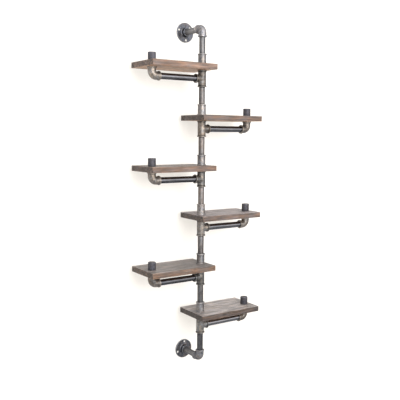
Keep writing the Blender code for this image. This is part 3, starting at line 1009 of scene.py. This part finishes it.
def add_wall_stay(end, flange_turn, roll):
    """The flange, nipple and elbow at one end of the upright."""
    flange, nipple, elbow = (f"{end}_wall_{part}" for part in ("flange", "nipple", "elbow"))
    low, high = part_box(flange)
    height, radius = high.y - low.y, (high.x - low.x) / 2.0
    mesh = net_mesh(
        flange + "_mesh",
        lambda points: flange_distance(points, height, radius),
        (-radius, -radius, 0.0),
        (radius, radius, height),
        FLANGE_CELL,
    )
    back = middle(flange)
    back.y = high.y
    mesh.transform(Matrix.Rotation(flange_turn, 4, "Z"))
    add(flange, mesh, back, Matrix.Rotation(QUARTER, 4, "X"))
    add_pipe(nipple, 1)
    upright = middle("riser_pipe_1")
    crossing = Vector((upright.x, upright.y, middle(nipple).z))
    turn = Matrix.Rotation(QUARTER, 4, "Z") @ Matrix.Rotation(roll, 4, "X")
    add(elbow, elbow_mesh(elbow + "_mesh"), crossing, turn)


def add_shelf(number, tee, elbow, collar, cap, wood):
    """One board with the collar, tee, arm, elbow, nipple and cap that hold it."""
    board = f"board_{number}"
    upright = middle(f"collar_{number}")
    outer = middle(f"end_cap_{number}")
    side = 1.0 if outer.x > upright.x else -1.0
    centre = middle(board)
    holes = [(place.x - centre.x, place.y - centre.y) for place in (upright, outer)]
    mesh = board_mesh(board + "_mesh", size(board), holes, number)
    add(board, mesh, centre, material=wood)
    add(f"collar_{number}", collar, (upright.x, upright.y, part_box(f"collar_{number}")[0].z))
    add(f"end_cap_{number}", cap, (outer.x, outer.y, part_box(f"end_cap_{number}")[0].z))
    axis_z = middle(f"tee_{number}").z
    outward = Matrix.Rotation(0.0 if side > 0.0 else math.pi, 4, "Z")
    inward = Matrix.Rotation(math.pi if side > 0.0 else 0.0, 4, "Z")
    add(f"tee_{number}", tee, (upright.x, upright.y, axis_z), outward)
    add(f"arm_elbow_{number}", elbow, (outer.x, outer.y, axis_z), inward)
    add_pipe(f"arm_pipe_{number}", 0)
    add_pipe(f"stub_nipple_{number}", 2)


# Each board's heart line below it, the tones of its front edge and of its top, and its ring width. The
# fronts darken down the shelf in part as painted shade away from the light above, and the tops are lighter
# in part as painted light.
WOODS = [
    ((0.030, -0.085), (0.135, 0.088, 0.065), (0.118, 0.097, 0.087), 0.0046),
    ((-0.045, -0.110), (0.079, 0.055, 0.044), (0.118, 0.097, 0.087), 0.0040),
    ((0.055, -0.070), (0.091, 0.061, 0.047), (0.118, 0.097, 0.087), 0.0050),
    ((-0.020, -0.120), (0.076, 0.054, 0.044), (0.170, 0.149, 0.151), 0.0043),
    ((0.060, -0.095), (0.083, 0.055, 0.040), (0.115, 0.103, 0.098), 0.0052),
    ((-0.035, -0.075), (0.047, 0.034, 0.028), (0.214, 0.194, 0.188), 0.0048),
]

add_wall_stay("upper", UPPER_FLANGE_TURN, math.pi)
add_wall_stay("lower", LOWER_FLANGE_TURN, 0.0)
add_upright()
tee_low = (-BODY_RADIUS - 2.0 * MM, -BAND_RADIUS, -CENTRE_TO_FACE)
tee_high = (CENTRE_TO_FACE, BAND_RADIUS, CENTRE_TO_FACE)
shared_tee = net_mesh("tee_mesh", tee_distance, tee_low, tee_high, TEE_CELL)
shared_elbow = elbow_mesh("arm_elbow_mesh")
collar_size = size("collar_1")
shared_collar = collar_mesh("collar_mesh", collar_size.z, collar_size.x / 2.0)
cap_size = size("end_cap_1")
shared_cap = cap_mesh("end_cap_mesh", cap_size.z, cap_size.x / 2.0)
for number, (heart, front, top, ring_width) in enumerate(WOODS, 1):
    wood = wood_material(f"board_wood_{number}", number, heart, front, top, ring_width)
    add_shelf(number, shared_tee, shared_elbow, shared_collar, shared_cap, wood)


# Wall, floor, light and camera


WALL_Y = cad_high.y + 0.4 * MM
WALL_HALF_WIDTH = 4.0
WALL_TOP = 3.5
FLOOR_Z = cad_low.z - 0.72
FLOOR_HALF_WIDTH = 5.0

WALL_COLOUR = (0.344, 0.339, 0.329)
WALL_GLOW = (1.0, 0.96, 0.89)
WALL_GLOW_STRENGTH = 0.53
FLOOR_DARK = (0.40, 0.40, 0.395)
FLOOR_LIGHT = (0.42, 0.42, 0.415)

KEY_AT = (-0.15, -2.1, 1.10)
KEY_TARGET = (0.0, -0.1, 0.8)
KEY_SIDE = 1.4
KEY_POWER = 38.0
KEY_COLOUR = (1.0, 0.985, 0.96)

STUDIO_BRIGHT_SIDE = (-0.05, -0.95, 0.18)
STUDIO_DIM = (0.30, 0.33, 0.38)
STUDIO_BRIGHT = (3.3, 3.2, 3.1)


def stage_plane(name, corners, material):
    mesh = bpy.data.meshes.new(name)
    mesh.from_pydata(corners, [], [(0, 1, 2, 3)])
    mesh.materials.append(material)
    plane = bpy.data.objects.new(name, mesh)
    bpy.context.scene.collection.objects.link(plane)


def wall_material():
    """A bright wall that glows a little. Only its room side shows, so views from behind see through it."""
    graph = Graph("wall_paint")
    plaster = graph.noise(graph.node("TexCoord", "Object"), 120.0, 3.0)
    normal = graph.bump(plaster, 0.1 * MM)
    graph.finish(Normal=normal, Roughness=0.9, Base_Color=WALL_COLOUR)
    graph.finish(Emission_Color=WALL_GLOW, Emission_Strength=WALL_GLOW_STRENGTH)
    from_behind = graph.node("NewGeometry", "Backfacing")
    clear = graph.node("BsdfTransparent")
    mixed = graph.node("MixShader", 0, {0: from_behind, 1: graph.shader.outputs[0], 2: clear})
    graph.tree.links.new(mixed, graph.tree.nodes["Material Output"].inputs["Surface"])
    return graph.material


def floor_material():
    graph = Graph("floor_paint")
    cloud = graph.noise(graph.node("TexCoord", "Object"), 3.0, 3.0)
    tone = graph.ramp(cloud, [(0.3, FLOOR_DARK), (0.7, FLOOR_LIGHT)])
    return graph.finish(Base_Color=tone, Roughness=0.8)


def add_wall():
    half = WALL_HALF_WIDTH
    outline = ((-half, FLOOR_Z), (half, FLOOR_Z), (half, WALL_TOP), (-half, WALL_TOP))
    stage_plane("wall", [(x, WALL_Y, z) for x, z in outline], wall_material())


def add_floor():
    half = FLOOR_HALF_WIDTH
    outline = ((-half, -half), (half, -half), (half, half), (-half, half))
    stage_plane("floor", [(x, y, FLOOR_Z) for x, y in outline], floor_material())


def add_key_light():
    """A square soft light in front of the shelf."""
    data = bpy.data.lights.new("key", "AREA")
    data.shape = "RECTANGLE"
    data.size, data.size_y = KEY_SIDE, KEY_SIDE
    data.energy = KEY_POWER
    data.color = KEY_COLOUR
    lamp = bpy.data.objects.new("key", data)
    lamp.location = KEY_AT
    lamp.rotation_euler = (Vector(KEY_TARGET) - Vector(KEY_AT)).to_track_quat("-Z", "Y").to_euler()
    bpy.context.scene.collection.objects.link(lamp)


def studio_world():
    """Surroundings that go from the dim colour to the bright one towards one side."""
    world = bpy.data.worlds.new("studio")
    world.use_nodes = True
    tree = world.node_tree
    place = tree.nodes.new("ShaderNodeTexCoord")
    facing = tree.nodes.new("ShaderNodeVectorMath")
    facing.operation = "DOT_PRODUCT"
    facing.inputs[1].default_value = Vector(STUDIO_BRIGHT_SIDE).normalized()
    level = tree.nodes.new("ShaderNodeMapRange")
    level.interpolation_type = "SMOOTHSTEP"
    colour = tree.nodes.new("ShaderNodeMix")
    colour.data_type = "RGBA"
    colour.inputs[6].default_value = (*STUDIO_DIM, 1.0)
    colour.inputs[7].default_value = (*STUDIO_BRIGHT, 1.0)
    tree.links.new(place.outputs["Generated"], facing.inputs[0])
    tree.links.new(facing.outputs["Value"], level.inputs["Value"])
    tree.links.new(level.outputs["Result"], colour.inputs[0])
    tree.links.new(colour.outputs[2], tree.nodes["Background"].inputs["Color"])
    bpy.context.scene.world = world


def add_camera():
    data = bpy.data.cameras.new("camera")
    data.lens = CAMERA_LENS
    data.sensor_width = CAMERA_SENSOR_WIDTH
    camera = bpy.data.objects.new("camera", data)
    turn = Matrix.Rotation(-CAMERA_YAW, 4, "Z") @ Matrix.Rotation(QUARTER + CAMERA_PITCH, 4, "X")
    camera.matrix_world = Matrix.Translation(CAMERA_AT) @ turn @ Matrix.Rotation(CAMERA_ROLL, 4, "Z")
    bpy.context.scene.collection.objects.link(camera)
    bpy.context.scene.camera = camera


add_wall()
add_floor()
add_key_light()
studio_world()
bpy.context.scene.view_settings.view_transform = "Standard"
add_camera()
